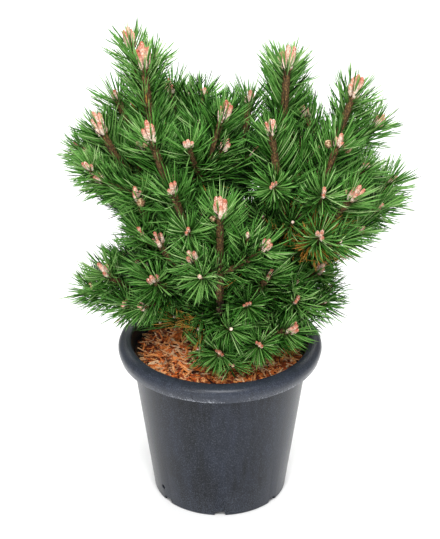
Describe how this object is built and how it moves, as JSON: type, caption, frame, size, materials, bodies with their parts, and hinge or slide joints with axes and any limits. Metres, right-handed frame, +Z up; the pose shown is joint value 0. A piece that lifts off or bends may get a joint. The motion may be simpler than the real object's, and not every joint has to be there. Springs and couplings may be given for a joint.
{
  "type": "potted mugo pine",
  "caption": "Bushy young mugo pine with pink-tipped buds, growing in bark mulch in a charcoal plastic nursery pot that stands on its flat underside",
  "frame": {"origin": "centre of the pot's flat underside, on the ground", "axes": "+Z up along the pot's axis, -Y towards the front of the plant, +X to its right as seen from the front"},
  "size_m": [0.5572, 0.4799, 0.7992],
  "materials": {
    "pot_plastic": "satin moulded plastic, dusty and lightly scuffed",
    "bark_mulch": "rough shredded bark",
    "pine_bark": "rough scaly bark",
    "needles": "waxy green needles with pink and cream buds"
  },
  "bodies": {
    "root": {"pot": "pot_plastic", "bark_mulch": "bark_mulch", "trunk": "pine_bark", "bough_back": "pine_bark", "bough_back_left": "pine_bark", "bough_back_right": "pine_bark", "bough_centre_front": "pine_bark", "bough_centre_high": "pine_bark", "bough_centre_left": "pine_bark", "bough_far_right": "pine_bark", "bough_front_right": "pine_bark", "bough_high_back_left": "pine_bark", "bough_high_left": "pine_bark", "bough_inner_front_right": "pine_bark", "bough_inner_left": "pine_bark", "bough_inner_right": "pine_bark", "bough_leader_left": "pine_bark", "bough_leader_right": "pine_bark", "bough_left_shoulder": "pine_bark", "bough_low_back_left": "pine_bark", "bough_low_back_right": "pine_bark", "bough_low_front": "pine_bark", "bough_low_left": "pine_bark", "bough_low_left_front": "pine_bark", "bough_low_right": "pine_bark", "bough_low_right_front": "pine_bark", "bough_mid_left": "pine_bark", "bough_mid_right": "pine_bark", "bough_right_shoulder": "pine_bark", "bough_top_back_left": "pine_bark", "bough_top_back_right": "pine_bark", "foliage_back": "needles", "foliage_back_left": "needles", "foliage_back_right": "needles", "foliage_centre_front": "needles", "foliage_centre_high": "needles", "foliage_centre_left": "needles", "foliage_far_right": "needles", "foliage_front_right": "needles", "foliage_high_back_left": "needles", "foliage_high_left": "needles", "foliage_inner_front_right": "needles", "foliage_inner_left": "needles", "foliage_inner_right": "needles", "foliage_leader_left": "needles", "foliage_leader_right": "needles", "foliage_left_shoulder": "needles", "foliage_low_back_left": "needles", "foliage_low_back_right": "needles", "foliage_low_front": "needles", "foliage_low_left": "needles", "foliage_low_left_front": "needles", "foliage_low_right": "needles", "foliage_low_right_front": "needles", "foliage_mid_left": "needles", "foliage_mid_right": "needles", "foliage_right_shoulder": "needles", "foliage_top_back_left": "needles", "foliage_top_back_right": "needles"}
  },
  "joints": []
}
